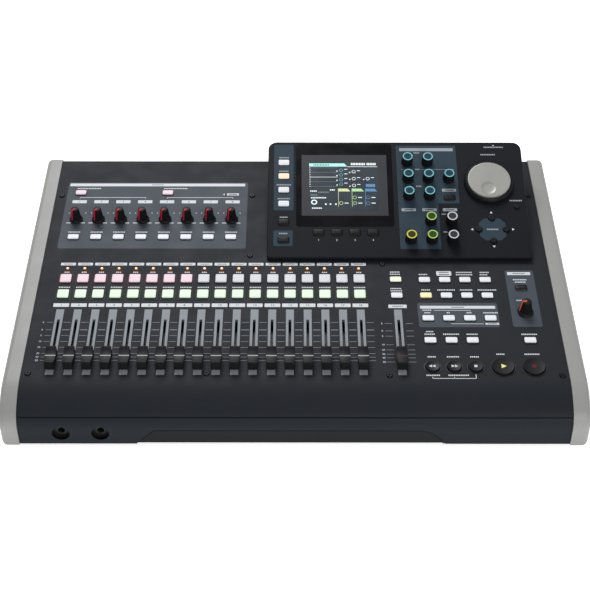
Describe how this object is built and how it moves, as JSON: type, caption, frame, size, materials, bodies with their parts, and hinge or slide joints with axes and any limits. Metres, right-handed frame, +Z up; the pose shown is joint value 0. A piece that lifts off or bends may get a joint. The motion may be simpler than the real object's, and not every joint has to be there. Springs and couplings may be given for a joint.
{
  "type": "digital multitrack recorder",
  "caption": "Desktop digital multitrack recorder: sloping mixer panel with faders, keys and trim knobs, raised display pod with encoders and a jog wheel, silver side cheeks.",
  "frame": {"origin": "middle of the case at table level, under the feet", "axes": "+X to the right as the user sees it, +Y to the rear, +Z up"},
  "size_m": [0.5156, 0.3466, 0.1084],
  "materials": {
    "panel_paint": "fine matt powder coat",
    "fascia_plastic": "satin moulded plastic",
    "cheek_plastic": "metallic silver paint on moulded plastic",
    "chassis_steel": "black coated steel sheet",
    "pod_plastic": "satin moulded plastic",
    "window_gloss": "polished smoked acrylic",
    "lcd_metal": "stamped bezel",
    "circuit_board": "solder mask",
    "socket_plastic": "moulded plastic",
    "foot_rubber": "soft rubber",
    "screw_steel": "black zinc",
    "record_key": "translucent moulded key",
    "select_key": "translucent moulded key",
    "function_key": "moulded key",
    "transport_key": "moulded key",
    "knob_plastic": "soft-touch moulding",
    "jog_plate": "silver painted plastic"
  },
  "bodies": {
    "case": {"top_cover": "panel_paint", "front_fascia": "fascia_plastic", "base_plate": "chassis_steel", "rear_panel": "chassis_steel", "left_cheek": "cheek_plastic", "right_cheek": "cheek_plastic", "pod_housing": "pod_plastic", "screen_window": "window_gloss", "lcd_module": "lcd_metal", "control_boards": "circuit_board", "sockets": "socket_plastic", "feet": "foot_rubber", "screws": "screw_steel"},
    "transport_keys": {"transport_buttons": "transport_key"},
    "record_keys": {"record_buttons": "record_key"},
    "select_keys": {"select_buttons": "select_key"},
    "function_keys": {"function_buttons": "function_key"},
    "pod_keys": {"pod_buttons": "function_key"},
    "standby_button": {"power_switch": "knob_plastic"},
    "master_fader": {"master_fader_cap": "knob_plastic"},
    "fader_1": {"fader_cap_1": "knob_plastic"},
    "phones": {"phones_knob": "knob_plastic"},
    "jog": {"jog_wheel": "jog_plate"},
    "trim_1": {"trim_knob_1": "knob_plastic"},
    "trim_2": {"trim_knob_2": "knob_plastic"},
    "trim_3": {"trim_knob_3": "knob_plastic"},
    "trim_4": {"trim_knob_4": "knob_plastic"},
    "trim_5": {"trim_knob_5": "knob_plastic"},
    "trim_6": {"trim_knob_6": "knob_plastic"},
    "trim_7": {"trim_knob_7": "knob_plastic"},
    "trim_8": {"trim_knob_8": "knob_plastic"},
    "fader_2": {"fader_cap_2": "knob_plastic"},
    "fader_3": {"fader_cap_3": "knob_plastic"},
    "fader_4": {"fader_cap_4": "knob_plastic"},
    "fader_5": {"fader_cap_5": "knob_plastic"},
    "fader_6": {"fader_cap_6": "knob_plastic"},
    "fader_7": {"fader_cap_7": "knob_plastic"},
    "fader_8": {"fader_cap_8": "knob_plastic"},
    "fader_9": {"fader_cap_9": "knob_plastic"},
    "fader_10": {"fader_cap_10": "knob_plastic"},
    "fader_11": {"fader_cap_11": "knob_plastic"},
    "fader_12": {"fader_cap_12": "knob_plastic"},
    "fader_13": {"fader_cap_13": "knob_plastic"},
    "fader_14": {"fader_cap_14": "knob_plastic"},
    "fader_15": {"fader_cap_15": "knob_plastic"},
    "fader_16": {"fader_cap_16": "knob_plastic"},
    "fader_17": {"fader_cap_17": "knob_plastic"},
    "fader_18": {"fader_cap_18": "knob_plastic"},
    "encoder_1": {"encoder_knob_1": "knob_plastic"},
    "encoder_2": {"encoder_knob_2": "knob_plastic"},
    "encoder_3": {"encoder_knob_3": "knob_plastic"},
    "encoder_4": {"encoder_knob_4": "knob_plastic"},
    "encoder_5": {"encoder_knob_5": "knob_plastic"},
    "encoder_6": {"encoder_knob_6": "knob_plastic"},
    "encoder_7": {"encoder_knob_7": "knob_plastic"},
    "encoder_8": {"encoder_knob_8": "knob_plastic"},
    "encoder_9": {"encoder_knob_9": "knob_plastic"},
    "encoder_10": {"encoder_knob_10": "knob_plastic"},
    "encoder_11": {"encoder_knob_11": "knob_plastic"},
    "encoder_12": {"encoder_knob_12": "knob_plastic"}
  },
  "joints": [
    {"name": "transport_keys_press", "type": "slide", "parent": "case", "child": "transport_keys", "axis": [0, 0.0663, -0.9978], "range_m": [0, 0.001], "stiffness_N_per_m": 1500, "springref_m": -0.001},
    {"name": "record_keys_press", "type": "slide", "parent": "case", "child": "record_keys", "axis": [0, 0.0663, -0.9978], "range_m": [0, 0.001], "stiffness_N_per_m": 5400, "springref_m": -0.001},
    {"name": "select_keys_press", "type": "slide", "parent": "case", "child": "select_keys", "axis": [0, 0.0663, -0.9978], "range_m": [0, 0.001], "stiffness_N_per_m": 5400, "springref_m": -0.001},
    {"name": "function_keys_press", "type": "slide", "parent": "case", "child": "function_keys", "axis": [0, 0.0663, -0.9978], "range_m": [0, 0.001], "stiffness_N_per_m": 8700, "springref_m": -0.001},
    {"name": "pod_keys_press", "type": "slide", "parent": "case", "child": "pod_keys", "axis": [0, 0.309, -0.9511], "range_m": [0, 0.001], "stiffness_N_per_m": 4800, "springref_m": -0.001},
    {"name": "standby_button_press", "type": "slide", "parent": "case", "child": "standby_button", "axis": [0, -1, 0], "range_m": [0, 0.002], "stiffness_N_per_m": 900, "springref_m": -0.001},
    {"name": "master_fader_slide", "type": "slide", "parent": "case", "child": "master_fader", "axis": [0, 0.9978, 0.0663], "range_m": [0, 0.045]},
    {"name": "fader_1_slide", "type": "slide", "parent": "case", "child": "fader_1", "axis": [0, 0.9978, 0.0663], "range_m": [0, 0.045]},
    {"name": "phones_turn", "type": "hinge", "parent": "case", "child": "phones", "pos_m": [0.2129, -0.05287, 0.05206], "axis": [0, 0.0663, -0.9978], "range_deg": [-60, 240]},
    {"name": "jog_turn", "type": "hinge", "parent": "case", "child": "jog", "pos_m": [0.192, 0.09942, 0.08869], "axis": [0, 0.309, -0.9511], "continuous": true},
    {"name": "trim_1_turn", "type": "hinge", "parent": "case", "child": "trim_1", "pos_m": [-0.2172, 0.07575, 0.0606], "axis": [0, 0.0663, -0.9978], "range_deg": [0, 300]},
    {"name": "trim_2_turn", "type": "hinge", "parent": "case", "child": "trim_2", "pos_m": [-0.19517, 0.07575, 0.0606], "axis": [0, 0.0663, -0.9978], "range_deg": [0, 300]},
    {"name": "trim_3_turn", "type": "hinge", "parent": "case", "child": "trim_3", "pos_m": [-0.17314, 0.07575, 0.0606], "axis": [0, 0.0663, -0.9978], "range_deg": [0, 300]},
    {"name": "trim_4_turn", "type": "hinge", "parent": "case", "child": "trim_4", "pos_m": [-0.15111, 0.07575, 0.0606], "axis": [0, 0.0663, -0.9978], "range_deg": [0, 300]},
    {"name": "trim_5_turn", "type": "hinge", "parent": "case", "child": "trim_5", "pos_m": [-0.12909, 0.07575, 0.0606], "axis": [0, 0.0663, -0.9978], "range_deg": [0, 300]},
    {"name": "trim_6_turn", "type": "hinge", "parent": "case", "child": "trim_6", "pos_m": [-0.10706, 0.07575, 0.0606], "axis": [0, 0.0663, -0.9978], "range_deg": [0, 300]},
    {"name": "trim_7_turn", "type": "hinge", "parent": "case", "child": "trim_7", "pos_m": [-0.08503, 0.07575, 0.0606], "axis": [0, 0.0663, -0.9978], "range_deg": [0, 300]},
    {"name": "trim_8_turn", "type": "hinge", "parent": "case", "child": "trim_8", "pos_m": [-0.063, 0.07575, 0.0606], "axis": [0, 0.0663, -0.9978], "range_deg": [0, 300]},
    {"name": "fader_2_slide", "type": "slide", "parent": "case", "child": "fader_2", "axis": [0, 0.9978, 0.0663], "range_m": [0, 0.045]},
    {"name": "fader_3_slide", "type": "slide", "parent": "case", "child": "fader_3", "axis": [0, 0.9978, 0.0663], "range_m": [0, 0.045]},
    {"name": "fader_4_slide", "type": "slide", "parent": "case", "child": "fader_4", "axis": [0, 0.9978, 0.0663], "range_m": [0, 0.045]},
    {"name": "fader_5_slide", "type": "slide", "parent": "case", "child": "fader_5", "axis": [0, 0.9978, 0.0663], "range_m": [0, 0.045]},
    {"name": "fader_6_slide", "type": "slide", "parent": "case", "child": "fader_6", "axis": [0, 0.9978, 0.0663], "range_m": [0, 0.045]},
    {"name": "fader_7_slide", "type": "slide", "parent": "case", "child": "fader_7", "axis": [0, 0.9978, 0.0663], "range_m": [0, 0.045]},
    {"name": "fader_8_slide", "type": "slide", "parent": "case", "child": "fader_8", "axis": [0, 0.9978, 0.0663], "range_m": [0, 0.045]},
    {"name": "fader_9_slide", "type": "slide", "parent": "case", "child": "fader_9", "axis": [0, 0.9978, 0.0663], "range_m": [0, 0.045]},
    {"name": "fader_10_slide", "type": "slide", "parent": "case", "child": "fader_10", "axis": [0, 0.9978, 0.0663], "range_m": [0, 0.045]},
    {"name": "fader_11_slide", "type": "slide", "parent": "case", "child": "fader_11", "axis": [0, 0.9978, 0.0663], "range_m": [0, 0.045]},
    {"name": "fader_12_slide", "type": "slide", "parent": "case", "child": "fader_12", "axis": [0, 0.9978, 0.0663], "range_m": [0, 0.045]},
    {"name": "fader_13_slide", "type": "slide", "parent": "case", "child": "fader_13", "axis": [0, 0.9978, 0.0663], "range_m": [0, 0.045]},
    {"name": "fader_14_slide", "type": "slide", "parent": "case", "child": "fader_14", "axis": [0, 0.9978, 0.0663], "range_m": [0, 0.045]},
    {"name": "fader_15_slide", "type": "slide", "parent": "case", "child": "fader_15", "axis": [0, 0.9978, 0.0663], "range_m": [0, 0.045]},
    {"name": "fader_16_slide", "type": "slide", "parent": "case", "child": "fader_16", "axis": [0, 0.9978, 0.0663], "range_m": [0, 0.045]},
    {"name": "fader_17_slide", "type": "slide", "parent": "case", "child": "fader_17", "axis": [0, 0.9978, 0.0663], "range_m": [0, 0.045]},
    {"name": "fader_18_slide", "type": "slide", "parent": "case", "child": "fader_18", "axis": [0, 0.9978, 0.0663], "range_m": [0, 0.045]},
    {"name": "encoder_1_turn", "type": "hinge", "parent": "case", "child": "encoder_1", "pos_m": [0.11211, 0.12339, 0.09648], "axis": [0, 0.309, -0.9511], "continuous": true},
    {"name": "encoder_2_turn", "type": "hinge", "parent": "case", "child": "encoder_2", "pos_m": [0.13225, 0.12339, 0.09648], "axis": [0, 0.309, -0.9511], "continuous": true},
    {"name": "encoder_3_turn", "type": "hinge", "parent": "case", "child": "encoder_3", "pos_m": [0.11211, 0.10379, 0.09012], "axis": [0, 0.309, -0.9511], "continuous": true},
    {"name": "encoder_4_turn", "type": "hinge", "parent": "case", "child": "encoder_4", "pos_m": [0.13225, 0.10379, 0.09012], "axis": [0, 0.309, -0.9511], "continuous": true},
    {"name": "encoder_5_turn", "type": "hinge", "parent": "case", "child": "encoder_5", "pos_m": [0.15239, 0.10379, 0.09012], "axis": [0, 0.309, -0.9511], "continuous": true},
    {"name": "encoder_6_turn", "type": "hinge", "parent": "case", "child": "encoder_6", "pos_m": [0.11211, 0.08382, 0.08363], "axis": [0, 0.309, -0.9511], "continuous": true},
    {"name": "encoder_7_turn", "type": "hinge", "parent": "case", "child": "encoder_7", "pos_m": [0.13225, 0.08382, 0.08363], "axis": [0, 0.309, -0.9511], "continuous": true},
    {"name": "encoder_8_turn", "type": "hinge", "parent": "case", "child": "encoder_8", "pos_m": [0.13225, 0.05491, 0.07423], "axis": [0, 0.309, -0.9511], "continuous": true},
    {"name": "encoder_9_turn", "type": "hinge", "parent": "case", "child": "encoder_9", "pos_m": [0.15239, 0.05491, 0.07423], "axis": [0, 0.309, -0.9511], "continuous": true},
    {"name": "encoder_10_turn", "type": "hinge", "parent": "case", "child": "encoder_10", "pos_m": [0.11211, 0.03456, 0.06762], "axis": [0, 0.309, -0.9511], "continuous": true},
    {"name": "encoder_11_turn", "type": "hinge", "parent": "case", "child": "encoder_11", "pos_m": [0.13225, 0.03456, 0.06762], "axis": [0, 0.309, -0.9511], "continuous": true},
    {"name": "encoder_12_turn", "type": "hinge", "parent": "case", "child": "encoder_12", "pos_m": [0.15239, 0.03456, 0.06762], "axis": [0, 0.309, -0.9511], "continuous": true}
  ]
}
